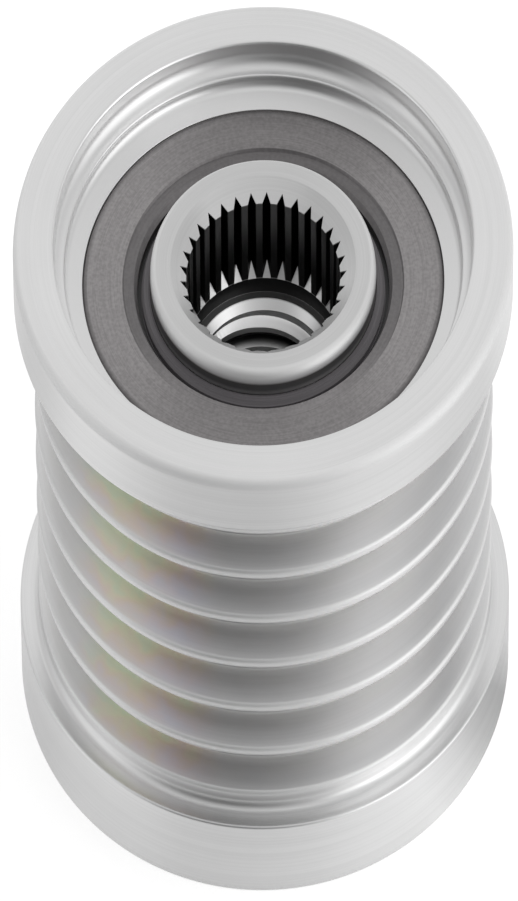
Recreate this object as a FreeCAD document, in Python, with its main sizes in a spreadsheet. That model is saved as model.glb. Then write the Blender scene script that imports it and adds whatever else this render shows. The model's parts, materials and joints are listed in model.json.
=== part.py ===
"""Overrunning alternator pulley: a six-groove belt pulley on a one-way clutch and two needle bearings.

The axis is +Z. The origin is the middle of the rear face, on which the pulley stands, and the
serrated socket opens upwards, at the front. Lengths are in millimetres, angles in degrees.
"""
import FreeCAD, Part

import math
import os
from types import SimpleNamespace

import Sketcher

SIZES = {
    # Hub, from its thread outwards
    "thread_radius": 8.0,
    "shaft_bore_step": 0.5,
    "shaft_bore_length": 8.5,
    "shaft_bore_break": 0.5,
    "thread_lead_in": 0.6,
    "relief_step": 0.8,
    "serration_count": 33,
    "serration_height": 0.8,
    "serration_space_angle": 64.0,
    "serration_depth": 6.75,
    "serration_runout": 0.95,
    "relief_length": 1.05,
    "countersink_width": 1.1,
    "countersink_angle": 27.0,
    "hub_wall": 3.3,
    "hub_shoulder": 0.3,
    "hub_top_depth": 1.7,
    "hub_rear_inset": 0.5,
    "hub_edge_round": 0.7,
    "hub_rear_break": 0.4,
    # Raceways of the ramp ring and of the sleeve
    "ramp_ring_wall": 2.95,
    "sleeve_wall": 1.99,
    "ring_edge_break": 0.3,
    # Needle bearings
    "needle_count": 14,
    "needle_diameter": 2.5,
    "needle_gap": 0.03,
    "needle_end_gap": 0.1,
    "pocket_gap": 0.1,
    "bearing_cage_width": 5.7,
    "bearing_cage_end": 0.8,
    "cage_wall_gap": 0.3,
    "cage_end_gap": 0.2,
    # One-way clutch: rollers on ramps, pushed by leaf springs
    "clutch_roller_count": 12,
    "clutch_cage_end": 1.0,
    "ramp_angle": 8.0,
    "ramp_depth": 0.5,
    "ramp_reach": 3.0,
    "ramp_gap": 0.02,
    "wedge_gap": 0.03,
    "wedge_travel": 0.5,
    "spring_space": 2.1,
    "spring_inset": 1.0,
    "spring_leaf_width": 0.2,
    "spring_spread": 0.7,
    "spring_tip_depth": 0.6,
    # Belt pulley: flanges, lands and V-grooves
    "pulley_wall": 4.2,
    "rib_pitch": 3.56,
    "groove_count": 6,
    "groove_angle": 40.0,
    "groove_floor_width": 0.83,
    "crest_width": 0.34,
    "crest_break": 0.16,
    "flange_height": 2.3,
    "front_flange_width": 3.85,
    "rear_flange_width": 5.3,
    "front_land_width": 1.37,
    "rear_land_width": 1.12,
    "flange_edge_break": 0.2,
    "front_edge_round": 0.7,
    "land_round": 0.8,
    # Stepped recess in the pulley's front, from the cover ring outwards and from the rim downwards
    "cover_shoulder": 1.1,
    "cone_width": 2.2,
    "ledge_width": 1.3,
    "rim_edge_break": 0.2,
    "recess_round": 0.5,
    "ledge_depth": 1.8,
    "step_drop": 0.8,
    "cone_drop": 0.5,
    "rear_recess_depth": 2.4,
    # Cover ring, seals and thrust washers
    "cover_thickness": 1.0,
    "cover_hub_gap": 1.6,
    "cover_edge_break": 0.2,
    "cover_step_width": 1.8,
    "cover_step_depth": 0.15,
    "cover_bevel": 0.4,
    "seal_plate_thickness": 0.6,
    "seal_plate_gap": 0.4,
    "seal_lip_width": 1.0,
    "seal_lip_height": 0.7,
    "seal_lip_bevel": 0.3,
    "washer_thickness": 0.7,
    "washer_bore_gap": 0.1,
    # Assembly clearances
    "press_gap": 0.02,
    "running_gap": 0.06,
    "axial_gap": 0.1,
}


class Value:
    """A number together with the expression that gives it from the sheet of sizes."""

    def __init__(self, number, text):
        self.number = number
        self.text = text

    def joined(self, sign, other, result):
        return Value(result, f"({self.text} {sign} {other.text})")

    def __add__(self, other):
        other = as_value(other)
        return self.joined("+", other, self.number + other.number)

    def __sub__(self, other):
        other = as_value(other)
        return self.joined("-", other, self.number - other.number)

    def __mul__(self, other):
        other = as_value(other)
        return self.joined("*", other, self.number * other.number)

    def __truediv__(self, other):
        other = as_value(other)
        return self.joined("/", other, self.number / other.number)

    def __neg__(self):
        return Value(-self.number, f"(-1 * {self.text})")


def as_value(item):
    return item if isinstance(item, Value) else Value(float(item), str(item))


def sine(angle):
    return Value(math.sin(math.radians(angle.number)), f"sin({angle.text})")


def cosine(angle):
    return Value(math.cos(math.radians(angle.number)), f"cos({angle.text})")


def tangent(angle):
    return Value(math.tan(math.radians(angle.number)), f"tan({angle.text})")


def make_sheet(document):
    """The driving sizes, one to a row: its name, then its plain number under that name as alias."""
    sheet = document.addObject("Spreadsheet::Sheet", "Sizes")
    for row, (name, number) in enumerate(SIZES.items(), start=1):
        sheet.set(f"A{row}", name)
        sheet.set(f"B{row}", str(number))
        sheet.setAlias(f"B{row}", name)
    document.recompute()
    return SimpleNamespace(**{name: Value(float(sheet.get(name)), f"Sizes.{name}") for name in SIZES})


doc = FreeCAD.newDocument("AlternatorPulley")
s = make_sheet(doc)

# Radii, from the shaft's thread outwards
lead_in_radius = s.thread_radius + s.thread_lead_in
serration_minor_radius = lead_in_radius + s.relief_step
serration_major_radius = serration_minor_radius + s.serration_height
hub_seat_radius = serration_major_radius + s.hub_wall
hub_head_radius = hub_seat_radius + s.hub_shoulder
inner_raceway_radius = hub_seat_radius + s.ramp_ring_wall
outer_raceway_radius = inner_raceway_radius + s.needle_diameter + s.needle_gap * 2
sleeve_radius = outer_raceway_radius + s.sleeve_wall
needle_path_radius = (inner_raceway_radius + outer_raceway_radius) / 2
cage_inner_radius = inner_raceway_radius + s.cage_wall_gap
cage_outer_radius = outer_raceway_radius - s.cage_wall_gap
cover_inner_radius = hub_head_radius + s.cover_hub_gap
cover_radius = sleeve_radius + s.cover_shoulder
step_radius = cover_radius + s.cone_width
rim_inner_radius = step_radius + s.ledge_width
washer_inner_radius = hub_head_radius + s.washer_bore_gap
plate_outer_radius = cage_outer_radius - s.axial_gap

# One V-groove, half of it, from its floor to its mouth between two crests
groove_slope = tangent(s.groove_angle / 2)
floor_half = s.groove_floor_width / 2
mouth_half = (s.rib_pitch - s.crest_width) / 2
flank_half = mouth_half - s.crest_break
groove_floor_radius = sleeve_radius + s.pulley_wall
flank_radius = groove_floor_radius + (flank_half - floor_half) / groove_slope
rib_radius = flank_radius + s.crest_break
flange_radius = rib_radius + s.flange_height

# Heights of the pulley, from its rear face
rear_groove_edge = s.rear_flange_width + s.rear_land_width
front_groove_edge = rear_groove_edge + s.rib_pitch * s.groove_count
front_flange_bottom = front_groove_edge + s.front_land_width
front_face = front_flange_bottom + s.front_flange_width
first_groove_middle = rear_groove_edge + s.rib_pitch / 2
ledge_height = front_face - s.ledge_depth
step_height = ledge_height - s.step_drop

# Heights of what fills the pulley, from both ends inwards
cover_top = step_height - s.cone_drop
cover_bottom = cover_top - s.cover_thickness
case_bottom = s.rear_recess_depth
case_top = case_bottom + s.cover_thickness
front_washer_top = cover_bottom - s.seal_plate_thickness - s.axial_gap
front_washer_bottom = front_washer_top - s.washer_thickness
rear_washer_bottom = case_top + s.seal_plate_thickness + s.axial_gap
rear_washer_top = rear_washer_bottom + s.washer_thickness
ramp_ring_top = front_washer_bottom - s.axial_gap
ramp_ring_bottom = rear_washer_top + s.axial_gap
front_cage_top = ramp_ring_top - s.axial_gap
front_cage_bottom = front_cage_top - s.bearing_cage_width
rear_cage_bottom = ramp_ring_bottom + s.axial_gap
rear_cage_top = rear_cage_bottom + s.bearing_cage_width
clutch_cage_bottom = rear_cage_top + s.cage_end_gap
clutch_cage_top = front_cage_bottom - s.cage_end_gap
clutch_window_bottom = clutch_cage_bottom + s.clutch_cage_end
clutch_window_top = clutch_cage_top - s.clutch_cage_end

# Heights of the hub
hub_top = front_face - s.hub_top_depth
hub_bottom = s.hub_rear_inset
serration_end = hub_top - s.serration_depth
relief_end = serration_end - s.relief_length
shaft_bore_end = hub_bottom + s.shaft_bore_length

# One-way clutch, seen along the axis, with the wedged roller on +X and its ramp falling towards +Y
clutch_roller_radius = (outer_raceway_radius - inner_raceway_radius + s.ramp_depth - s.wedge_gap) / 2
wedged_radius = outer_raceway_radius - clutch_roller_radius - s.wedge_gap
ramp_distance = wedged_radius * cosine(s.ramp_angle) - clutch_roller_radius - s.ramp_gap
roller_back = clutch_roller_radius + s.wedge_travel
pocket_back = roller_back + s.spring_space


def origin_plane(body, role):
    return next(plane for plane in body.Origin.OriginFeatures if plane.Role == role)


def outline(body, name, role, corners, height=None):
    """A closed sketch with a straight edge between each two corners, each corner bound to its sizes."""
    sketch = body.newObject("Sketcher::SketchObject", name)
    sketch.AttachmentSupport = [(origin_plane(body, role), "")]
    sketch.MapMode = "FlatFace"
    if height is not None:
        sketch.setExpression("AttachmentOffset.Base.z", height.text)
    corners = [(as_value(across), as_value(along)) for across, along in corners]
    points = [FreeCAD.Vector(across.number, along.number, 0) for across, along in corners]
    following = points[1:] + points[:1]
    sketch.addGeometry([Part.LineSegment(a, b) for a, b in zip(points, following)], False)
    last = len(corners) - 1
    for edge in range(last + 1):
        after = 0 if edge == last else edge + 1
        sketch.addConstraint(Sketcher.Constraint("Coincident", edge, 2, after, 1))
    for edge, corner in enumerate(corners):
        for kind, value in zip(("DistanceX", "DistanceY"), corner):
            number = sketch.addConstraint(Sketcher.Constraint(kind, -1, 1, edge, 1, value.number))
            if "Sizes." in value.text:
                sketch.setExpression(f"Constraints[{number}]", value.text)
    return sketch


def new_body(name):
    body = doc.addObject("PartDesign::Body", name)
    body.Label = name
    return body


def turned(name, corners):
    """A body turned about +Z from the corners (radius, height) of its section."""
    body = new_body(name)
    add_turned(body, f"{name}_section", corners)
    return body


def add_turned(body, name, corners, kind="Revolution"):
    """One more turned form on a body, added as a Revolution or cut as a Groove."""
    sketch = outline(body, name, "XZ_Plane", corners)
    feature = body.newObject(f"PartDesign::{kind}", f"{name}_{kind.lower()}")
    feature.Profile = sketch
    feature.ReferenceAxis = (sketch, ["V_Axis"])
    feature.Angle = 360
    body.Tip = feature
    return feature


def add_around(body, name, corners, top, depth, count, kind="Pocket"):
    """An outline cut downwards from a height, or raised from it as a Pad, and repeated about +Z."""
    sketch = outline(body, f"{name}_outline", "XY_Plane", corners, top)
    feature = body.newObject(f"PartDesign::{kind}", name)
    feature.Profile = sketch
    feature.setExpression("Length", depth.text)
    body.Tip = feature
    pattern = body.newObject("PartDesign::PolarPattern", f"{name}_pattern")
    pattern.Originals = [feature]
    pattern.Axis = (sketch, ["N_Axis"])
    pattern.Angle = 360
    pattern.setExpression("Occurrences", count.text)
    body.Tip = pattern
    return pattern


def round_circle(body, name, radius, at_radius, at_height):
    """Round the circular edge that lies at a radius and a height."""
    doc.recompute()
    base = body.Tip
    names = []
    for number, edge in enumerate(base.Shape.Edges, start=1):
        point = edge.valueAt(edge.FirstParameter)
        reach = math.hypot(point.x, point.y)
        if edge.Curve.TypeId != "Part::GeomCircle" or abs(edge.Curve.Radius - reach) > 1e-4:
            continue
        if abs(reach - at_radius.number) < 1e-4 and abs(point.z - at_height.number) < 1e-4:
            names.append(f"Edge{number}")
    fillet = body.newObject("PartDesign::Fillet", name)
    fillet.Base = (base, names)
    fillet.setExpression("Radius", radius.text)
    body.Tip = fillet


def ring(name, inner, outer, bottom, top):
    return turned(name, [(inner, bottom), (outer, bottom), (outer, top), (inner, top)])


def cylinder(name, radius, length, across, along, bottom):
    """A plain roller that stands on a height, its axis at a point of the plane across +Z."""
    roller = doc.addObject("Part::Cylinder", name)
    roller.Label = name
    roller.setExpression("Radius", radius.text)
    roller.setExpression("Height", length.text)
    roller.setExpression("Placement.Base.x", across.text)
    roller.setExpression("Placement.Base.y", along.text)
    roller.setExpression("Placement.Base.z", bottom.text)
    return roller


def make_pulley():
    """The belt pulley: outside, stepped front recess and plain bore in one section, then the V-grooves."""
    edge = s.flange_edge_break
    corners = [
        (sleeve_radius + edge, 0),
        (flange_radius - edge, 0),
        (flange_radius, edge),
        (flange_radius, s.rear_flange_width - edge),
        (flange_radius - edge, s.rear_flange_width),
        (rib_radius, s.rear_flange_width),
        (rib_radius, front_flange_bottom),
        (flange_radius - edge, front_flange_bottom),
        (flange_radius, front_flange_bottom + edge),
        (flange_radius, front_face),
        (rim_inner_radius + s.rim_edge_break, front_face),
        (rim_inner_radius, front_face - s.rim_edge_break),
        (rim_inner_radius, ledge_height),
        (step_radius, ledge_height),
        (step_radius, step_height),
        (cover_radius, cover_top),
        (cover_radius, cover_bottom),
        (sleeve_radius, cover_bottom),
        (sleeve_radius, edge),
    ]
    body = turned("pulley", corners)
    half = [
        (groove_floor_radius, floor_half),
        (flank_radius, flank_half),
        (rib_radius, mouth_half),
        (flange_radius, mouth_half),
    ]
    below = [(radius, first_groove_middle - width) for radius, width in half]
    above = [(radius, first_groove_middle + width) for radius, width in reversed(half)]
    groove = add_turned(body, "v_groove", below + above, "Groove")
    pattern = body.newObject("PartDesign::LinearPattern", "v_groove_pattern")
    pattern.Originals = [groove]
    pattern.Direction = (groove.Profile[0], ["V_Axis"])
    pattern.setExpression("Length", (s.rib_pitch * (s.groove_count - 1)).text)
    pattern.setExpression("Occurrences", s.groove_count.text)
    body.Tip = pattern
    round_circle(body, "front_edge_round", s.front_edge_round, flange_radius, front_face)
    round_circle(body, "rear_land_round", s.land_round, rib_radius, s.rear_flange_width)
    round_circle(body, "front_land_round", s.land_round, rib_radius, front_flange_bottom)
    round_circle(body, "ledge_round", s.recess_round, rim_inner_radius, ledge_height)
    round_circle(body, "step_round", s.recess_round, step_radius, step_height)
    return body


def make_hub():
    """The inner shaft: serrated socket at the front, bore for the shaft's thread, plain bore at the rear."""
    countersink_radius = serration_major_radius + s.countersink_width
    countersink_drop = (countersink_radius - serration_minor_radius) * tangent(s.countersink_angle)
    shaft_bore_radius = s.thread_radius + s.shaft_bore_step
    corners = [
        (shaft_bore_radius + s.shaft_bore_break, hub_bottom),
        (hub_seat_radius - s.hub_rear_break, hub_bottom),
        (hub_seat_radius, hub_bottom + s.hub_rear_break),
        (hub_seat_radius, ramp_ring_top),
        (hub_head_radius, ramp_ring_top),
        (hub_head_radius, hub_top),
        (countersink_radius, hub_top),
        (serration_minor_radius, hub_top - countersink_drop),
        (serration_minor_radius, relief_end),
        (lead_in_radius, relief_end),
        (s.thread_radius, relief_end - s.thread_lead_in),
        (s.thread_radius, shaft_bore_end + s.shaft_bore_step),
        (shaft_bore_radius, shaft_bore_end),
        (shaft_bore_radius, hub_bottom + s.shaft_bore_break),
    ]
    body = turned("hub", corners)
    round_circle(body, "head_round", s.hub_edge_round, hub_head_radius, hub_top)
    inside_half = (serration_major_radius - lead_in_radius) * tangent(s.serration_space_angle / 2)
    space = [
        (lead_in_radius, -inside_half),
        (serration_major_radius, 0),
        (lead_in_radius, inside_half),
    ]
    add_around(body, "serration", space, hub_top, s.serration_depth, s.serration_count)
    backing_radius = serration_major_radius + s.hub_shoulder
    runout = [
        (serration_minor_radius, serration_end - s.hub_shoulder),
        (backing_radius, serration_end - s.hub_shoulder),
        (backing_radius, serration_end + s.serration_runout),
        (serration_major_radius, serration_end + s.serration_runout),
        (serration_minor_radius, serration_end),
    ]
    add_turned(body, "serration_runout", runout)
    return body


def make_ramp_ring():
    """The inner ring pressed on the hub: a needle raceway at each end and the clutch's ramps between."""
    edge = s.ring_edge_break
    inner = hub_seat_radius + s.press_gap
    corners = [
        (inner, ramp_ring_bottom),
        (inner_raceway_radius - edge, ramp_ring_bottom),
        (inner_raceway_radius, ramp_ring_bottom + edge),
        (inner_raceway_radius, ramp_ring_top - edge),
        (inner_raceway_radius - edge, ramp_ring_top),
        (inner, ramp_ring_top),
    ]
    body = turned("ramp_ring", corners)
    flat_x = ramp_distance * cosine(s.ramp_angle)
    flat_y = ramp_distance * sine(s.ramp_angle)

    def on_ramp(back, out):
        """A point of the ramp's own frame: a way back from the wedged roller's foot, and out from the flat."""
        along = back - wedged_radius * sine(s.ramp_angle)
        across_x = flat_x - along * sine(s.ramp_angle) + out * cosine(s.ramp_angle)
        across_y = flat_y + along * cosine(s.ramp_angle) + out * sine(s.ramp_angle)
        return across_x, across_y

    flat = as_value(0)
    corners = [
        on_ramp(-s.ramp_reach, flat),
        on_ramp(pocket_back, flat),
        on_ramp(pocket_back, s.ramp_reach),
        on_ramp(-s.ramp_reach, s.ramp_reach),
    ]
    length = clutch_cage_top - clutch_cage_bottom
    add_around(body, "ramp", corners, clutch_cage_top, length, s.clutch_roller_count)
    return body


def make_clutch_cage():
    """The clutch's cage: a ring with one window for each roller and its spring."""
    body = ring("clutch_cage", cage_inner_radius, cage_outer_radius, clutch_cage_bottom, clutch_cage_top)
    front_wall = -(clutch_roller_radius + s.pocket_gap)
    window = [
        (ramp_distance, front_wall),
        (outer_raceway_radius, front_wall),
        (outer_raceway_radius, pocket_back),
        (ramp_distance, pocket_back),
    ]
    length = clutch_window_top - clutch_window_bottom
    add_around(body, "clutch_window", window, clutch_window_top, length, s.clutch_roller_count)
    return body


def make_clutch_rollers():
    """The clutch's rollers, wedged between their ramps and the sleeve."""
    length = clutch_window_top - clutch_window_bottom - s.needle_end_gap * 2
    bottom = clutch_window_bottom + s.needle_end_gap
    for number in range(SIZES["clutch_roller_count"]):
        angle = as_value(360) * number / s.clutch_roller_count
        name = f"clutch_roller_{number + 1:02d}"
        across = wedged_radius * cosine(angle)
        along = wedged_radius * sine(angle)
        cylinder(name, clutch_roller_radius, length, across, along, bottom)


def make_clutch_springs():
    """One bent leaf behind each clutch roller, its two feet against the window's wall."""
    body = new_body("clutch_springs")
    foot = pocket_back - s.press_gap
    tip = roller_back + s.press_gap
    leaf = [
        (wedged_radius, tip),
        (wedged_radius + s.spring_spread, foot),
        (wedged_radius + s.spring_spread - s.spring_leaf_width, foot),
        (wedged_radius, tip + s.spring_tip_depth),
        (wedged_radius - s.spring_spread + s.spring_leaf_width, foot),
        (wedged_radius - s.spring_spread, foot),
    ]
    bottom = clutch_window_bottom + s.spring_inset
    length = clutch_window_top - clutch_window_bottom - s.spring_inset * 2
    add_around(body, "spring_leaf", leaf, bottom, length, s.clutch_roller_count, "Pad")
    return body


def make_needle_bearing(side, cage_bottom):
    """A caged row of needles between the sleeve and one end of the ramp ring."""
    cage_top = cage_bottom + s.bearing_cage_width
    body = ring(f"{side}_bearing_cage", cage_inner_radius, cage_outer_radius, cage_bottom, cage_top)
    needle_radius = s.needle_diameter / 2
    half = needle_radius + s.pocket_gap
    window = [
        (inner_raceway_radius, -half),
        (outer_raceway_radius, -half),
        (outer_raceway_radius, half),
        (inner_raceway_radius, half),
    ]
    window_top = cage_top - s.bearing_cage_end
    window_length = s.bearing_cage_width - s.bearing_cage_end * 2
    add_around(body, f"{side}_needle_window", window, window_top, window_length, s.needle_count)
    length = window_length - s.needle_end_gap * 2
    bottom = cage_bottom + s.bearing_cage_end + s.needle_end_gap
    for number in range(SIZES["needle_count"]):
        angle = as_value(360) * number / s.needle_count
        name = f"{side}_needle_{number + 1:02d}"
        across = needle_path_radius * cosine(angle)
        along = needle_path_radius * sine(angle)
        cylinder(name, needle_radius, length, across, along, bottom)


def make_sleeve():
    """The hardened outer raceway, pressed into the pulley between the cover ring and the seal case."""
    edge = s.ring_edge_break
    outer = sleeve_radius - s.press_gap
    corners = [
        (outer_raceway_radius + edge, case_top),
        (outer, case_top),
        (outer, cover_bottom),
        (outer_raceway_radius + edge, cover_bottom),
        (outer_raceway_radius, cover_bottom - edge),
        (outer_raceway_radius, case_top + edge),
    ]
    return turned("clutch_sleeve", corners)


def make_cover_ring():
    """The dark ring in the front recess, with a shallow step and a bevelled inner edge."""
    outer = cover_radius - s.press_gap
    step_top = cover_top - s.cover_step_depth
    corners = [
        (cover_inner_radius, cover_bottom),
        (outer, cover_bottom),
        (outer, cover_top - s.cover_edge_break),
        (outer - s.cover_edge_break, cover_top),
        (cover_inner_radius + s.cover_step_width, cover_top),
        (cover_inner_radius + s.cover_step_width - s.cover_step_depth, step_top),
        (cover_inner_radius + s.cover_bevel, step_top),
        (cover_inner_radius, step_top - s.cover_bevel),
    ]
    return turned("cover_ring", corners)


def make_seal(name, carrier_face, outwards, shaft_radius):
    """A rubber seal: its plate lies inside the carrier's face, and its lip stands out beside the hub."""
    lip_radius = shaft_radius + s.running_gap
    plate_face = carrier_face - outwards * s.seal_plate_thickness
    lip_face = carrier_face + outwards * s.seal_lip_height
    corners = [
        (shaft_radius + s.seal_plate_gap, plate_face),
        (plate_outer_radius, plate_face),
        (plate_outer_radius, carrier_face),
        (lip_radius + s.seal_lip_width, carrier_face),
        (lip_radius + s.seal_lip_width, lip_face - outwards * s.seal_lip_bevel),
        (lip_radius + s.seal_lip_width - s.seal_lip_bevel, lip_face),
        (lip_radius, lip_face),
        (lip_radius, carrier_face),
    ]
    return turned(name, corners)


def make_parts():
    make_pulley()
    make_hub()
    make_sleeve()
    make_ramp_ring()
    make_clutch_cage()
    make_clutch_rollers()
    make_clutch_springs()
    make_needle_bearing("front", front_cage_bottom)
    make_needle_bearing("rear", rear_cage_bottom)
    make_cover_ring()
    ring("rear_seal_case", cover_inner_radius, sleeve_radius - s.press_gap, case_bottom, case_top)
    make_seal("front_seal", cover_bottom, as_value(1), hub_head_radius)
    make_seal("rear_seal", case_top, as_value(-1), hub_seat_radius)
    ring("front_thrust_washer", washer_inner_radius, plate_outer_radius, front_washer_bottom, front_washer_top)
    ring("rear_thrust_washer", washer_inner_radius, plate_outer_radius, rear_washer_bottom, rear_washer_top)


def check_document():
    """Stop if any object failed, and return the finished pieces, one for each body or cylinder."""
    doc.recompute()
    for item in doc.Objects:
        if "Invalid" in item.State or "Error" in item.State:
            raise RuntimeError(f"{item.Label} failed: {item.State}")
    pieces = [item for item in doc.Objects if item.TypeId in ("PartDesign::Body", "Part::Cylinder")]
    for piece in pieces:
        if piece.Shape.isNull() or not piece.Shape.isValid() or not piece.Shape.Solids:
            raise RuntimeError(f"{piece.Label} has no valid solid")
    return pieces


make_parts()
os.makedirs("parts", exist_ok=True)
for piece in check_document():
    piece.Shape.exportStep(f"parts/{piece.Label}.step")
    box = piece.Shape.BoundBox
    print(f"{piece.Label}: {len(piece.Shape.Solids)} solids, {piece.Shape.Volume:.2f} mm3,"
          f" height {box.ZMin:.2f} to {box.ZMax:.2f}")
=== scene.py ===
"""Studio scene of an overrunning alternator pulley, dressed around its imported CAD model.

Metres throughout, +Z along the pulley's axis, and the origin in the middle of the rear face.
"""

import json
import math

import bpy
from mathutils import Matrix, Vector


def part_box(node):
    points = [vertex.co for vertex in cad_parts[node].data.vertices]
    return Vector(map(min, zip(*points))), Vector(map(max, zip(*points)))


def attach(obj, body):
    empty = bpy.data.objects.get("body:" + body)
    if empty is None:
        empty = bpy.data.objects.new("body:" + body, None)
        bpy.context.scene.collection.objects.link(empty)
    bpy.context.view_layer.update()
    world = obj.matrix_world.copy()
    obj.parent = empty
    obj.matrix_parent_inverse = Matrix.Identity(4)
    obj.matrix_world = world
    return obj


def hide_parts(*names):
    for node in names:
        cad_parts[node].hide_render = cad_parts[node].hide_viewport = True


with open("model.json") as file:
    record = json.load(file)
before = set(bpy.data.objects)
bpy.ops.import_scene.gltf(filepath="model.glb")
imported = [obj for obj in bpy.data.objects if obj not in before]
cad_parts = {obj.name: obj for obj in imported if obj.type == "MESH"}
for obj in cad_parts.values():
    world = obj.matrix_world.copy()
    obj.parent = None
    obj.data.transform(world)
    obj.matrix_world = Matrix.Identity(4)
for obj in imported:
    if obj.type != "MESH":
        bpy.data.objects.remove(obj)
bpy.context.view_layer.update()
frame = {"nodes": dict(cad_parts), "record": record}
nodes = frame["nodes"]

MM = 0.001
BODY = "hub_body"

# Heights and radii of the pulley and the hub that the materials follow. The outer ones are read from the nodes,
# and the first crest is the one beside the rear flange's land
pulley_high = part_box("pulley")[1]
hub_low, hub_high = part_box("hub")
FRONT_FACE = pulley_high.z
FLANGE_RADIUS = pulley_high.x
RIB_RADIUS = FLANGE_RADIUS - 2.3 * MM
FIRST_CREST = 6.4 * MM
RECESS_WALL = 25.6 * MM
RECESS_STEP = 31.2 * MM
RECESS_FLOOR = 28.9 * MM
HUB_TOP = hub_high.z
HUB_HEAD = 13.8 * MM

# Radii on the cover ring and the front seal
RING_STEP = 17.2 * MM
RING_RIM = 21.6 * MM
SEAL_LIP = 14.95 * MM

# The forms of the socket and the thread in the hub, below its front face
LAND_RADIUS = 9.4 * MM
SERRATION_RADIUS = 10.2 * MM
COUNTERSINK_RADIUS = 11.3 * MM
COUNTERSINK_ANGLE = math.radians(27)
SERRATION_END = HUB_TOP - 6.75 * MM
RUNOUT_SLOPE = 0.95 / 0.8
RELIEF_END = SERRATION_END - 1.05 * MM
THREAD_WALL = 8.0 * MM
THREAD_CREST = 7.19 * MM
THREAD_PITCH = 1.5 * MM
THREAD_TOP = RELIEF_END - 0.6 * MM
THREAD_BOTTOM = hub_low.z + 9.0 * MM
THREAD_END_ANGLE = math.radians(185)
# Below this height the thread in the bore is painted in shade
THREAD_SHADE_TOP = HUB_TOP - 9.7 * MM


# Camera


def add_camera():
    """The photograph's view. The picture is stretched upwards, so the camera's picture plane leans.

    A camera whose up axis leans towards its line of sight draws every height larger by
    1 / cos(lean) and leaves widths as they are. The lean comes from the camera's parent.
    """
    elevation = math.radians(31.64)
    lean = math.radians(56.8)
    roll = math.radians(0.5585)
    distance = 2.02
    pixels_per_metre = 8095.3
    target = Vector((-0.000623, 0, 0.016733))
    picture_height = 901
    sensor = 36.0

    ahead = Vector((0, math.cos(elevation), -math.sin(elevation)))
    level_right = Vector((1, 0, 0))
    level_up = level_right.cross(ahead)
    right = level_right * math.cos(roll) + level_up * -math.sin(roll)
    up = level_right * math.sin(roll) + level_up * math.cos(roll)
    leaning_up = up * math.cos(lean) + ahead * math.sin(lean)
    place = target - ahead * distance

    data = bpy.data.cameras.new("photo_camera")
    data.sensor_width = sensor
    data.lens = pixels_per_metre * distance * sensor / picture_height
    data.clip_start = 0.1
    data.clip_end = 20
    camera = bpy.data.objects.new("photo_camera", data)
    holder = bpy.data.objects.new("photo_camera_holder", None)
    bpy.context.scene.collection.objects.link(camera)
    bpy.context.scene.collection.objects.link(holder)
    camera.parent = holder
    columns = (right, leaning_up, -ahead, place)
    rows = [[column[axis] for column in columns] for axis in range(3)] + [[0, 0, 0, 1]]
    camera.matrix_parent_inverse = Matrix(rows)
    bpy.context.scene.camera = camera


add_camera()


# Node helpers


def grey(level):
    """A neutral colour."""
    return (level, level, level, 1)


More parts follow.
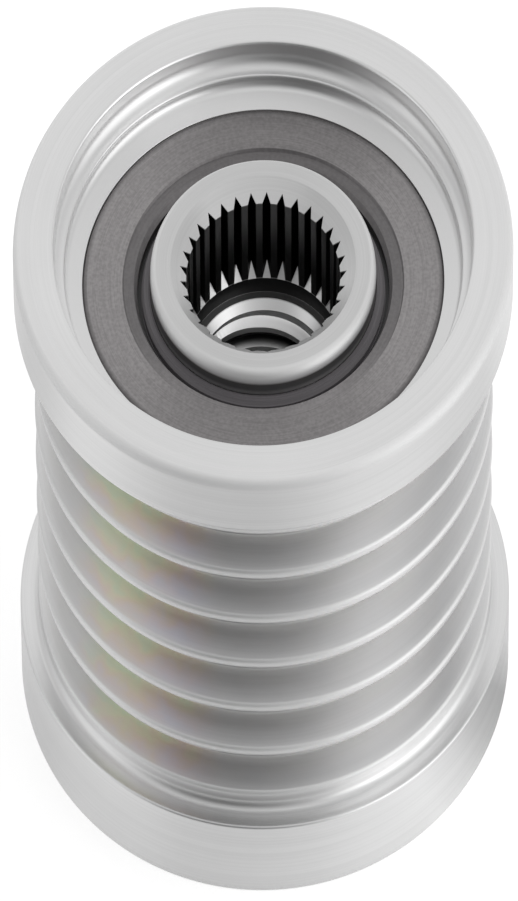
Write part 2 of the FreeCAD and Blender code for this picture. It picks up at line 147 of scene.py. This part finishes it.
class Nodes:
    """Short calls that add and link shader nodes in one tree."""

    def __init__(self, owner):
        owner.use_nodes = True
        self.tree = owner.node_tree
        self.tree.nodes.clear()

    def add(self, kind, inputs=None, **settings):
        node = self.tree.nodes.new(f"ShaderNode{kind}")
        for name, value in settings.items():
            setattr(node, name, value)
        for key, value in (inputs or {}).items():
            self.put(node.inputs[key], value)
        return node

    def put(self, socket, value):
        if isinstance(value, bpy.types.NodeSocket):
            self.tree.links.new(value, socket)
        elif isinstance(value, bpy.types.Node):
            self.tree.links.new(value.outputs[0], socket)
        else:
            socket.default_value = value

    def math(self, operation, *values):
        node = self.add("Math", operation=operation)
        for socket, value in zip(node.inputs, values):
            self.put(socket, value)
        return node.outputs[0]

    def product(self, first, *others):
        """Values multiplied with each other."""
        for value in others:
            first = self.math("MULTIPLY", first, value)
        return first

    def smooth(self, value, low, high, out_low=0.0, out_high=1.0):
        """A soft step of a value from one level to another."""
        node = self.add("MapRange", interpolation_type="SMOOTHSTEP")
        for socket, item in zip(node.inputs, (value, low, high, out_low, out_high)):
            self.put(socket, item)
        return node.outputs[0]

    def blend(self, factor, first, second):
        """A mix of two colours."""
        node = self.add("Mix", data_type="RGBA")
        for key, value in ((0, factor), (6, first), (7, second)):
            self.put(node.inputs[key], value)
        return node.outputs[2]

    def ramp(self, factor, tones):
        """A colour from a scale of (position, colour) pairs."""
        node = self.add("ValToRGB", {0: factor})
        stops = node.color_ramp.elements
        for stop, (position, tone) in zip(stops, (tones[0], tones[-1])):
            stop.position, stop.color = position, tone
        for position, tone in tones[1:-1]:
            stops.new(position).color = tone
        return node.outputs[0]

    def grain(self, scale, detail):
        """Even noise in all directions."""
        place = self.add("TexCoord").outputs["Object"]
        return self.add("TexNoise", {"Vector": place, "Scale": scale, "Detail": detail}).outputs[0]

    def cylinder_place(self):
        """The radius and height of a point in metres, and its direction round the axis."""
        place = self.add("TexCoord").outputs["Object"]
        parts = self.add("SeparateXYZ", {0: place}).outputs
        flat = self.add("VectorMath", {0: place, 1: (1, 1, 0)}, operation="MULTIPLY")
        length = self.add("VectorMath", {0: flat.outputs[0]}, operation="LENGTH")
        around = self.add("VectorMath", {0: flat.outputs[0]}, operation="NORMALIZE")
        return length.outputs["Value"], parts[2], around.outputs[0]

    def turning_marks(self, radius, height, around, width, length, detail=2.0):
        """Noise drawn out round the axis: `width` across a mark, `length` as a share of the turn."""
        steady = self.add("VectorMath", {0: around, "Scale": 1 / length}, operation="SCALE")
        across = self.math("DIVIDE", height, width)
        parts = self.add("SeparateXYZ", {0: steady.outputs[0]}).outputs
        place = self.add("CombineXYZ", {0: parts[0], 1: parts[1], 2: across})
        depth = self.math("DIVIDE", radius, width)
        noise = self.add("TexNoise", {"Vector": place, "W": depth, "Scale": 1.0, "Detail": detail},
                         noise_dimensions="4D")
        return noise.outputs[0]

    def round_tones(self, parts, tones, behind):
        """A tone by the direction round the object.

        The tones are (degrees, level) pairs, with 0 at the photographer's side and `behind` at the far
        side. A colour ramp stops at 1, so it holds half of each level.
        """
        turn = self.math("ARCTAN2", parts[0], self.math("MULTIPLY", parts[1], -1.0))
        stops = [(0.5 + degrees / 360, grey(level / 2)) for degrees, level in tones]
        halved = self.ramp(self.math("MULTIPLY_ADD", turn, 0.5 / math.pi, 0.5),
                           [(0, grey(behind / 2)), *stops, (1, grey(behind / 2))])
        return self.math("MULTIPLY", halved, 2.0)

    def turned_surface(self, colour, roughness, metallic, anisotropy, relief, strength):
        """The shader of a metal turned round the Z axis, whose highlights stretch across its marks."""
        bump = self.add("Bump", {"Strength": strength, "Distance": MARK_DEPTH, "Height": relief})
        tangent = self.add("Tangent", direction_type="RADIAL", axis="Z")
        shader = self.add("BsdfPrincipled", {"Base Color": colour, "Roughness": roughness, "Metallic": metallic,
                                             "Normal": bump, "Tangent": tangent,
                                             "Anisotropic": anisotropy, "Anisotropic Rotation": 0.25})
        self.add("OutputMaterial", {"Surface": shader.outputs[0]})


# Materials


# Marks of the tool on turned metal: the width and depth of one, and the width of a band in tone
MARK_WIDTH = 0.11 * MM
MARK_DEPTH = 0.01 * MM
BAND_WIDTH = 0.7 * MM

# Tumbled places are rougher and paler, and look less like bare metal
TUMBLED_ROUGHER = 0.26
TUMBLED_TONE = 0.97
TUMBLED_LESS_METAL = 0.45


def turned_steel(name, level, roughness, tint=None, dull=None):
    """Satin turned steel: fine rings from the tool, broader tone bands, and a soft stretched sheen.

    `tint` recolours some places, with painted light and shade as well as their own colours, and `dull` says how
    tumbled each place is.
    """
    material = bpy.data.materials.new(name)
    n = Nodes(material)
    fine_share, band_share, cloud_share = 0.16, 0.14, 0.06
    radius, height, around = n.cylinder_place()
    fine = n.turning_marks(radius, height, around, MARK_WIDTH, length=1.5, detail=1.0)
    bands = n.turning_marks(radius, height, around, BAND_WIDTH, length=1.2)
    cloud = n.grain(scale=90.0, detail=3.0)
    tone = n.math("MULTIPLY_ADD", fine, fine_share, n.math("MULTIPLY", bands, band_share))
    tone = n.math("MULTIPLY_ADD", cloud, cloud_share, tone)
    colour = n.blend(n.smooth(tone, 0.08, 0.28), grey(level * 0.93), grey(level * 1.05))
    if tint:
        colour = tint(n, colour, radius, height, around)
    rough = n.math("MULTIPLY_ADD", bands, 0.08, roughness - 0.02)
    metallic = 1.0
    if dull:
        tumbled = dull(n, radius, height)
        rough = n.math("MULTIPLY_ADD", tumbled, TUMBLED_ROUGHER, rough)
        colour = n.blend(tumbled, colour, grey(TUMBLED_TONE))
        metallic = n.math("MULTIPLY_ADD", tumbled, -TUMBLED_LESS_METAL, 1.0)
    n.turned_surface(colour, rough, metallic, anisotropy=0.55, relief=fine, strength=0.2)
    return material


def dull_edges(n, radius, height):
    """How dull the pulley is: its tumbled front edge, and half as much the crests of its ribs."""
    front = n.product(n.smooth(radius, FLANGE_RADIUS - 0.8 * MM, FLANGE_RADIUS - 0.6 * MM),
                      n.smooth(height, FRONT_FACE - 0.8 * MM, FRONT_FACE - 0.6 * MM))
    crests = n.product(n.smooth(radius, RIB_RADIUS - 0.3 * MM, RIB_RADIUS - 0.15 * MM),
                       n.smooth(radius, RIB_RADIUS + 0.3 * MM, RIB_RADIUS + 0.1 * MM),
                       n.smooth(height, FIRST_CREST - 0.2 * MM, FIRST_CREST + 0.2 * MM))
    return n.math("MAXIMUM", front, n.product(crests, 0.5))


def dull_head(n, radius, height):
    """How dull the hub is: its tumbled outer edge at the front."""
    return n.product(n.smooth(radius, HUB_HEAD - 0.8 * MM, HUB_HEAD - 0.5 * MM, 0.0, 0.6),
                     n.smooth(height, HUB_TOP - 1.0 * MM, HUB_TOP - 0.8 * MM))


# The passivation film: the side of the pulley where it shows most, and its colours from thin to thick
FILM_SIDE = (-0.588, -0.809, 0)
FILM_COLOURS = ((0.34, (0.76, 0.86, 0.62, 1)), (0.46, (0.88, 0.84, 0.58, 1)), (0.58, (0.90, 0.74, 0.60, 1)),
                (0.74, (0.86, 0.75, 0.80, 1)), (0.94, (0.78, 0.79, 0.90, 1)))


def passivation_film(n, radius, height, around):
    """The thin film's colour, faint green, gold and pink, and how far it shows round the pulley."""
    side = n.add("VectorMath", {0: around, 1: FILM_SIDE}, operation="DOT_PRODUCT").outputs["Value"]
    patch = n.smooth(side, 0.91, 0.985, 0.06, 1.0)
    across = n.add("SeparateXYZ", {0: around}).outputs[0]
    drift = n.add("TexNoise", {"Vector": around, "W": n.math("MULTIPLY", height, 170.0), "Scale": 9.0,
                               "Detail": 2.0}, noise_dimensions="4D").outputs[0]
    depth = n.smooth(radius, FLANGE_RADIUS - 5.3 * MM, FLANGE_RADIUS - 2.5 * MM, -0.12, 0.3)
    turn = n.smooth(across, -0.76, -0.36, -0.16, 0.16)
    thickness = n.math("ADD", n.math("ADD", drift, depth), turn)
    return n.ramp(thickness, FILM_COLOURS), patch


def plated_tones(n, colour, radius, height, around):
    """The pulley's zinc: darker as painted shade and filmed in the V-grooves, and in the front recess painted
    shade below its step and painted light up its wall.
    """
    groove_share, groove_painted_shade = 0.5, grey(0.74)
    recess_share, wall_foot_painted_shade, wall_top_painted_light = 0.8, grey(0.80), grey(0.98)
    film_share = 0.42
    # Painted shade: the V-grooves are darker.
    grooves = n.product(n.smooth(radius, FLANGE_RADIUS - 2.2 * MM, FLANGE_RADIUS - 3.2 * MM),
                        n.smooth(height, FRONT_FACE - 3.9 * MM, FRONT_FACE - 4.4 * MM))
    colour = n.blend(n.product(grooves, groove_share), colour, groove_painted_shade)
    # Painted shade below the recess's step and painted light up its wall.
    recess = n.product(n.smooth(radius, RECESS_WALL + 0.15 * MM, RECESS_WALL + 0.05 * MM),
                       n.smooth(height, RECESS_FLOOR - 0.3 * MM, RECESS_FLOOR - 0.1 * MM))
    wall = n.blend(n.smooth(height, RECESS_STEP + 0.4 * MM, RECESS_STEP + 1.2 * MM), wall_foot_painted_shade, wall_top_painted_light)
    colour = n.blend(n.product(recess, recess_share), colour, wall)
    film, patch = passivation_film(n, radius, height, around)
    return n.blend(n.product(grooves, patch, film_share), colour, film)


def socket_black(n, colour, radius, height, around):
    """The socket: black in the serrations, grey lands with painted shade deeper in, a dark relief below, painted
    light on the lead-in and thread ridges, painted shade deep in the bore.
    """
    black, land_foot, land_top = grey(0.012), grey(0.05), grey(0.24)
    lead_in_painted_light, thread_painted_shade, ridge_painted_light = grey(0.94), grey(0.1), grey(0.6)
    hub_side_painted_shade, relief_tone = grey(0.2), grey(0.05)
    inner = n.smooth(radius, SERRATION_RADIUS + 0.12 * MM, SERRATION_RADIUS + 0.08 * MM)

    cone_drop = n.math("MULTIPLY", n.math("SUBTRACT", COUNTERSINK_RADIUS, radius), math.tan(COUNTERSINK_ANGLE))
    cone = n.math("SUBTRACT", HUB_TOP, cone_drop)
    under_cone = n.smooth(n.math("SUBTRACT", cone, height), 0.04 * MM, 0.09 * MM)
    runout = n.math("MULTIPLY_ADD", n.math("SUBTRACT", radius, LAND_RADIUS), RUNOUT_SLOPE, SERRATION_END)
    above_runout = n.smooth(n.math("SUBTRACT", height, runout), 0.03 * MM, 0.08 * MM)
    # Painted shade: the lands darken deeper into the socket.
    land = n.smooth(radius, LAND_RADIUS + 0.12 * MM, LAND_RADIUS + 0.02 * MM)
    land_depth_shade = n.blend(n.smooth(height, HUB_TOP - 5.0 * MM, HUB_TOP - 1.5 * MM), land_foot, land_top)
    colour = n.blend(n.product(above_runout, under_cone, inner), colour, n.blend(land, black, land_depth_shade))

    # Painted light: the lead-in below the relief is pale.
    lead_in = n.smooth(height, RELIEF_END - 0.04 * MM, RELIEF_END - 0.08 * MM)
    colour = n.blend(n.product(lead_in, inner), colour, lead_in_painted_light)
    # Painted shade deep in the bore, with painted light on the thread's ridges.
    deep = n.smooth(height, THREAD_SHADE_TOP + 0.85 * MM, THREAD_SHADE_TOP + 0.1 * MM)
    ridge = n.smooth(radius, THREAD_WALL - 0.15 * MM, THREAD_WALL - 0.6 * MM)
    colour = n.blend(n.product(deep, inner), colour, n.blend(ridge, thread_painted_shade, ridge_painted_light))

    # Painted shade on the hub's side, inside the seal.
    side = n.product(n.smooth(radius, HUB_HEAD - 0.15 * MM, HUB_HEAD - 0.05 * MM),
                     n.smooth(height, HUB_TOP - 0.6 * MM, HUB_TOP - 1.0 * MM),
                     n.smooth(height, HUB_TOP - 1.6 * MM, HUB_TOP - 1.3 * MM, 0.5, 1.0))
    colour = n.blend(side, colour, hub_side_painted_shade)

    relief = n.product(n.smooth(height, RELIEF_END - 0.04 * MM, RELIEF_END),
                       n.smooth(height, SERRATION_END + 0.01 * MM, SERRATION_END - 0.02 * MM),
                       n.smooth(height, RELIEF_END, RELIEF_END + 0.03 * MM, 0.3, 1.0))
    return n.blend(n.product(relief, inner), colour, relief_tone)


def dark_ring():
    """Dark phosphated steel with faint turning rings, a darker inner step, painted shade at the rim and a
    painted sheen.
    """
    dark, light = (0.158, 0.151, 0.152, 1), (0.220, 0.211, 0.212, 1)
    step_share, step_tone = 0.4, (0.115, 0.109, 0.112, 1)
    rim_shade_share, rim_painted_shade = 0.6, (0.05, 0.047, 0.048, 1)
    material = bpy.data.materials.new("phosphated_ring")
    n = Nodes(material)
    radius, height, around = n.cylinder_place()
    fine = n.turning_marks(radius, height, around, MARK_WIDTH, length=0.4)
    grain = n.grain(scale=2600.0, detail=2.0)
    tone = n.math("MULTIPLY_ADD", grain, 0.5, n.math("MULTIPLY", fine, 0.5))
    colour = n.blend(n.smooth(tone, 0.3, 0.7), dark, light)

    parts = n.add("SeparateXYZ", {0: around}).outputs
    # Painted sheen: the outer zone is lighter to the left and right, the inner zone towards the near side.
    outer_painted_sheen = n.smooth(n.math("ABSOLUTE", parts[0]), 0.45, 0.95, 1.45, 1.75)
    inner_painted_sheen = n.smooth(parts[1], -0.3, -0.95, 1.2, 2.2)
    outer = n.smooth(radius, RING_STEP - 0.1 * MM, RING_STEP + 0.1 * MM)
    painted_sheen = n.math("MULTIPLY_ADD", n.math("SUBTRACT", outer_painted_sheen, inner_painted_sheen), outer, inner_painted_sheen)
    colour = n.add("VectorMath", {0: colour, "Scale": painted_sheen}, operation="SCALE").outputs[0]

    inner = n.smooth(radius, RING_STEP + 0.05 * MM, RING_STEP - 0.05 * MM)
    colour = n.blend(n.product(inner, step_share), colour, step_tone)
    # Painted shade at the rim, where the ring meets the pulley.
    rim = n.smooth(radius, RING_RIM - 0.3 * MM, RING_RIM + 0.3 * MM)
    colour = n.blend(n.product(rim, rim_shade_share), colour, rim_painted_shade)
    n.turned_surface(colour, roughness=0.42, metallic=1.0, anisotropy=0.5, relief=tone, strength=0.3)
    return material


def lighter_lip(n, colour):
    """The seal's lip is a lighter grey with faint rings, and its plate keeps the rubber's black."""
    radius, height, around = n.cylinder_place()
    rings = n.turning_marks(radius, height, around, 0.2 * MM, length=1.5)
    grey_lip = n.blend(n.smooth(rings, 0.3, 0.7), (0.105, 0.098, 0.104, 1), (0.165, 0.154, 0.164, 1))
    return n.blend(n.smooth(radius, SEAL_LIP + 0.03 * MM, SEAL_LIP - 0.03 * MM), colour, grey_lip)


def matte(name, dark, light, roughness, grain_size, bump_height, tint=None):
    """Rubber or moulded plastic with a fine mottled grain."""
    material = bpy.data.materials.new(name)
    n = Nodes(material)
    grain = n.grain(scale=1 / grain_size, detail=3.0)
    colour = n.blend(n.smooth(grain, 0.35, 0.65), dark, light)
    if tint:
        colour = tint(n, colour)
    rough = n.math("MULTIPLY_ADD", grain, 0.15, roughness - 0.07)
    bump = n.add("Bump", {"Strength": 0.4, "Distance": bump_height, "Height": grain})
    shader = n.add("BsdfPrincipled", {"Base Color": colour, "Roughness": rough, "Normal": bump})
    n.add("OutputMaterial", {"Surface": shader.outputs[0]})
    return material


pulley_steel = turned_steel("zinc_plated_steel_turned", level=0.86, roughness=0.30, tint=plated_tones,
                            dull=dull_edges)
hub_steel = turned_steel("ground_steel_turned", level=0.68, roughness=0.31, tint=socket_black, dull=dull_head)
by_slot = {
    "zinc_plated_steel": pulley_steel,
    "ground_steel": hub_steel,
    "hardened_steel": turned_steel("bearing_steel_ground", level=0.50, roughness=0.20),
    "spring_steel": turned_steel("spring_strip", level=0.42, roughness=0.30),
    "dark_steel": dark_ring(),
    "seal_rubber": matte("nitrile_rubber", (0.008, 0.008, 0.0085, 1), (0.018, 0.018, 0.019, 1), roughness=0.6,
                         grain_size=0.15 * MM, bump_height=0.01 * MM, tint=lighter_lip),
    "cage_plastic": matte("cage_polyamide", (0.03, 0.03, 0.032, 1), (0.06, 0.06, 0.06, 1), roughness=0.5,
                          grain_size=0.2 * MM, bump_height=0.008 * MM),
    "washer_plastic": matte("washer_polyamide", (0.17, 0.16, 0.14, 1), (0.23, 0.215, 0.19, 1), roughness=0.5,
                            grain_size=0.2 * MM, bump_height=0.008 * MM),
}
for item in frame["record"]["subparts"]:
    node = nodes[item["node"]]
    for slot in node.material_slots:
        slot.material = by_slot[item["material_slot"]]


# Pulley


def rounded(corners, steps):
    """A closed section whose corners (radius, height, round) are rounded: its points and their normals."""
    points = []
    for index, (radius, height, size) in enumerate(corners):
        here = Vector((radius, height))
        before = (Vector(corners[index - 1][:2]) - here).normalized()
        after = (Vector(corners[(index + 1) % len(corners)][:2]) - here).normalized()
        half = before.angle(after) / 2
        reach = size / math.tan(half)
        middle = here + (before + after).normalized() * (size / math.sin(half))
        first = here + before * reach - middle
        turn = first.angle_signed(here + after * reach - middle)
        convex = before.cross(after) < 0
        for step in range(steps + 1):
            angle = -turn * step / steps
            arm = Vector((first.x * math.cos(angle) - first.y * math.sin(angle),
                          first.x * math.sin(angle) + first.y * math.cos(angle)))
            normal = arm.normalized() if convex else -arm.normalized()
            points.append((middle + arm, normal))
    return points


def turned_piece(name, section, segments):
    """A solid of revolution round the pulley's axis, smooth everywhere."""
    vertices, normals, faces = [], [], []
    count = len(section)
    for segment in range(segments):
        angle = 2 * math.pi * segment / segments
        across, along = math.cos(angle), math.sin(angle)
        for point, normal in section:
            vertices.append((point.x * across, point.x * along, point.y))
            normals.append((normal.x * across, normal.x * along, normal.y))
    for segment in range(segments):
        here, following = segment * count, (segment + 1) % segments * count
        for index in range(count):
            other = (index + 1) % count
            faces.append((here + index, following + index, following + other, here + other))
    mesh = bpy.data.meshes.new(name)
    mesh.from_pydata(vertices, [], faces)
    for polygon in mesh.polygons:
        polygon.use_smooth = True
    mesh.normals_split_custom_set_from_vertices(normals)
    piece = bpy.data.objects.new(name, mesh)
    bpy.context.scene.collection.objects.link(piece)
    return piece


def pulley_section():
    """The pulley's section, with rounded crests and edges, from its rear bore edge outwards."""
    flange, rib, floor, bore = 30.5 * MM, 28.2 * MM, 25.2 * MM, 21.0 * MM
    rear_land, front_land, front = 5.3 * MM, 29.15 * MM, 33.0 * MM
    pitch, grooves, first_groove = 3.56 * MM, 6, 6.42 * MM
    mouth, floor_half = 1.507 * MM, 0.415 * MM
    ledge_wall, ledge, cone_wall, cone_foot = 24.3 * MM, 30.4 * MM, 22.1 * MM, 29.9 * MM
    bore_round, edge, land_round, crest_round, floor_round = 0.2 * MM, 0.22 * MM, 0.8 * MM, 0.38 * MM, 0.3 * MM
    front_round, lip_round, step_round = 0.7 * MM, 0.25 * MM, 1.05 * MM
    ledge_edge, ledge_round, sharp = 0.2 * MM, 0.7 * MM, 0.05 * MM
    corners = [(bore, 0, bore_round), (flange, 0, edge), (flange, rear_land, edge), (rib, rear_land, land_round)]
    for number in range(grooves):
        middle = first_groove + pitch * (number + 0.5)
        corners += [(rib, middle - mouth, crest_round), (floor, middle - floor_half, floor_round),
                    (floor, middle + floor_half, floor_round), (rib, middle + mouth, crest_round)]
    corners += [(rib, front_land, land_round), (flange, front_land, edge), (flange, front, front_round),
                (RECESS_WALL, front, lip_round), (RECESS_WALL, RECESS_STEP, step_round),
                (ledge_wall, RECESS_STEP, ledge_edge), (ledge_wall, ledge, ledge_round),
                (cone_wall, cone_foot, sharp), (cone_wall, RECESS_FLOOR, sharp), (bore, RECESS_FLOOR, sharp)]
    return rounded(corners, steps=5)


turned_pulley = turned_piece("turned_pulley", pulley_section(), segments=256)
turned_pulley.data.materials.append(pulley_steel)
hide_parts("pulley")
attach(turned_pulley, "pulley_body")


# Thread


def add_thread():
    """The ridge of the M16 thread, wound inside the hub's plain bore and run out at both ends."""
    flank = math.radians(30)
    runout_turns = 0.25
    steps_per_turn = 96
    ridge_height = THREAD_WALL - THREAD_CREST
    root = THREAD_WALL + 0.03 * MM
    crest_half = THREAD_PITCH / 8
    root_half = crest_half + ridge_height * math.tan(flank)
    start, end = THREAD_BOTTOM + root_half, THREAD_TOP - root_half
    turns = (end - start) / THREAD_PITCH
    steps = int(turns * steps_per_turn)
    points, faces = [], []
    for step in range(steps + 1):
        share = step / steps
        angle = THREAD_END_ANGLE - 2 * math.pi * turns * (1 - share)
        height = start + (end - start) * share
        fade = min(1.0, share * turns / runout_turns, (1 - share) * turns / runout_turns)
        tip = THREAD_WALL - ridge_height * fade
        for radius, rise in ((root, -root_half), (tip, -crest_half), (tip, crest_half), (root, root_half)):
            points.append((radius * math.cos(angle), radius * math.sin(angle), height + rise))
    for step in range(steps):
        for side in range(4):
            other = (side + 1) % 4
            base, following = step * 4, (step + 1) * 4
            faces.append((base + side, base + other, following + other, following + side))
    faces.append((3, 2, 1, 0))
    last = steps * 4
    faces.append((last, last + 1, last + 2, last + 3))
    mesh = bpy.data.meshes.new("shaft_thread")
    mesh.from_pydata(points, [], faces)
    mesh.validate()
    mesh.update()
    thread = bpy.data.objects.new("shaft_thread", mesh)
    bpy.context.scene.collection.objects.link(thread)
    mesh.materials.append(hub_steel)
    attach(thread, BODY)


add_thread()


# Stage and light


# Glow of the floor in the metal by its direction, in degrees from the photographer's side to the right: close
# to the pulley, further out, and what is added between the two
NEAR_FLOOR_TONES = ((-120, 0.38), (-92, 0.38), (-80, 0.33), (-69, 0.33), (-58, 0.37), (-47, 0.40), (-35, 0.39),
                    (-23, 0.33), (-12, 0.32), (0, 0.34), (12, 0.37), (23, 0.43), (35, 0.49), (47, 0.56),
                    (58, 0.42), (69, 0.16), (80, 0.02), (92, 0.26), (120, 0.40))
FAR_FLOOR_TONES = ((-132, 0.35), (-115, 0.28), (-98, 0.30), (-81, 0.41), (-65, 0.38), (-49, 0.26), (-32, 0.20),
                   (-16, 0.21), (0, 0.19), (16, 0.26), (32, 0.34), (49, 0.35), (65, 0.39), (81, 0.37),
                   (98, 0.33), (115, 0.44), (132, 0.50))
MIDDLE_FLOOR_TONES = ((-100, 0.10), (-82, 0.22), (-64, 0.34), (-48, 0.30), (-32, 0.12), (-15, 0.0), (12, 0.0),
                      (25, 0.16), (40, 0.38), (54, 0.32), (68, 0.14), (85, 0.08))
MIDDLE_BASE = 0.1


def add_floor():
    """A pale floor. It shows white to the camera, shows in the metal as a painted glow whose tone changes round
    the pulley, and keeps a soft shadow.
    """
    reach = 8.0
    below = 0.02 * MM
    camera_glow = 0.68
    behind = 0.3
    far_start, far_full = 0.036, 0.07
    middle_start, middle_full, middle_falls, middle_end = 0.040, 0.048, 0.057, 0.068

    mesh = bpy.data.meshes.new("floor")
    mesh.from_pydata([(-reach, -reach, 0), (reach, -reach, 0), (reach, reach, 0), (-reach, reach, 0)], [],
                     [(0, 1, 2, 3)])
    floor = bpy.data.objects.new("floor", mesh)
    floor.location.z = -below
    bpy.context.scene.collection.objects.link(floor)

    material = bpy.data.materials.new("floor_white")
    n = Nodes(material)
    path = n.add("LightPath").outputs
    reflected = n.math("MAXIMUM", path["Is Glossy Ray"], path["Is Transmission Ray"])
    place = n.add("TexCoord").outputs["Object"]
    parts = n.add("SeparateXYZ", {0: place}).outputs
    away = n.add("VectorMath", {0: place}, operation="LENGTH").outputs["Value"]
    near = n.round_tones(parts, NEAR_FLOOR_TONES, behind)
    far = n.round_tones(parts, FAR_FLOOR_TONES, behind)
    distant = n.smooth(away, far_start, far_full)
    level = n.math("ADD", n.product(far, distant), n.product(near, n.math("SUBTRACT", 1.0, distant)))
    added = n.math("SUBTRACT", n.round_tones(parts, MIDDLE_FLOOR_TONES, MIDDLE_BASE), MIDDLE_BASE)
    between = n.product(n.smooth(away, middle_start, middle_full), n.smooth(away, middle_end, middle_falls))
    level = n.math("MULTIPLY_ADD", added, between, level)
    seen = n.math("MULTIPLY_ADD", reflected, level, n.product(path["Is Camera Ray"], camera_glow))
    glow = n.add("Emission", {"Color": (1, 1, 1, 1), "Strength": seen})
    base = n.add("BsdfDiffuse", {"Color": grey(0.62)})
    both = n.add("AddShader", {0: glow.outputs[0], 1: base.outputs[0]})
    n.add("OutputMaterial", {"Surface": both.outputs[0]})
    mesh.materials.append(material)


# Brightness of the surround by its direction, in the same degrees
ROUND_TONES = ((-165, 0.78), (-140, 0.56), (-118, 0.60), (-98, 0.80), (-82, 0.84), (-64, 0.56), (-46, 0.20),
               (-24, 0.09), (-6, 0.14), (10, 0.28), (24, 0.44), (42, 0.82), (62, 1.26), (80, 1.42), (98, 1.24),
               (118, 0.74), (140, 0.64), (165, 0.78))
BACK_TONE = 0.81
OVERHEAD_TONE = 0.54


def add_world():
    """A white surround whose tone changes with the direction round the object.

    It is darkest just left of the photographer, half dark further left, and brightest to the right.
    """
    world = bpy.data.worlds.new("studio")
    bpy.context.scene.world = world
    n = Nodes(world)
    direction = n.add("TexCoord").outputs["Generated"]
    parts = n.add("SeparateXYZ", {0: direction}).outputs
    around = n.round_tones(parts, ROUND_TONES, BACK_TONE)
    overhead = n.smooth(parts[2], 0.55, 0.95)
    level = n.math("ADD", n.product(around, n.math("SUBTRACT", 1.0, overhead)),
                   n.product(overhead, OVERHEAD_TONE))
    camera_ray = n.add("LightPath").outputs["Is Camera Ray"]
    strength = n.math("MAXIMUM", level, camera_ray)
    background = n.add("Background", {"Color": (1, 1, 1, 1), "Strength": strength})
    n.add("OutputWorld", {"Surface": background.outputs[0]})


def add_lamp(name, place, size, watts):
    """A square soft box that faces the pulley."""
    data = bpy.data.lights.new(name, "AREA")
    data.shape = "SQUARE"
    data.size = size
    data.energy = watts
    lamp = bpy.data.objects.new(name, data)
    lamp.location = place
    aim = Vector((0, 0, FRONT_FACE / 2)) - lamp.location
    lamp.rotation_mode = "QUATERNION"
    lamp.rotation_quaternion = aim.to_track_quat("-Z", "Y")
    bpy.context.scene.collection.objects.link(lamp)


add_floor()
add_world()
add_lamp("top_softbox", Vector((0.15, 0.2, 1.3)), size=1.2, watts=1.0)
add_lamp("right_softbox", Vector((1.2, -0.9, 0.9)), size=0.9, watts=1.3)

bpy.context.scene.view_settings.view_transform = "Standard"
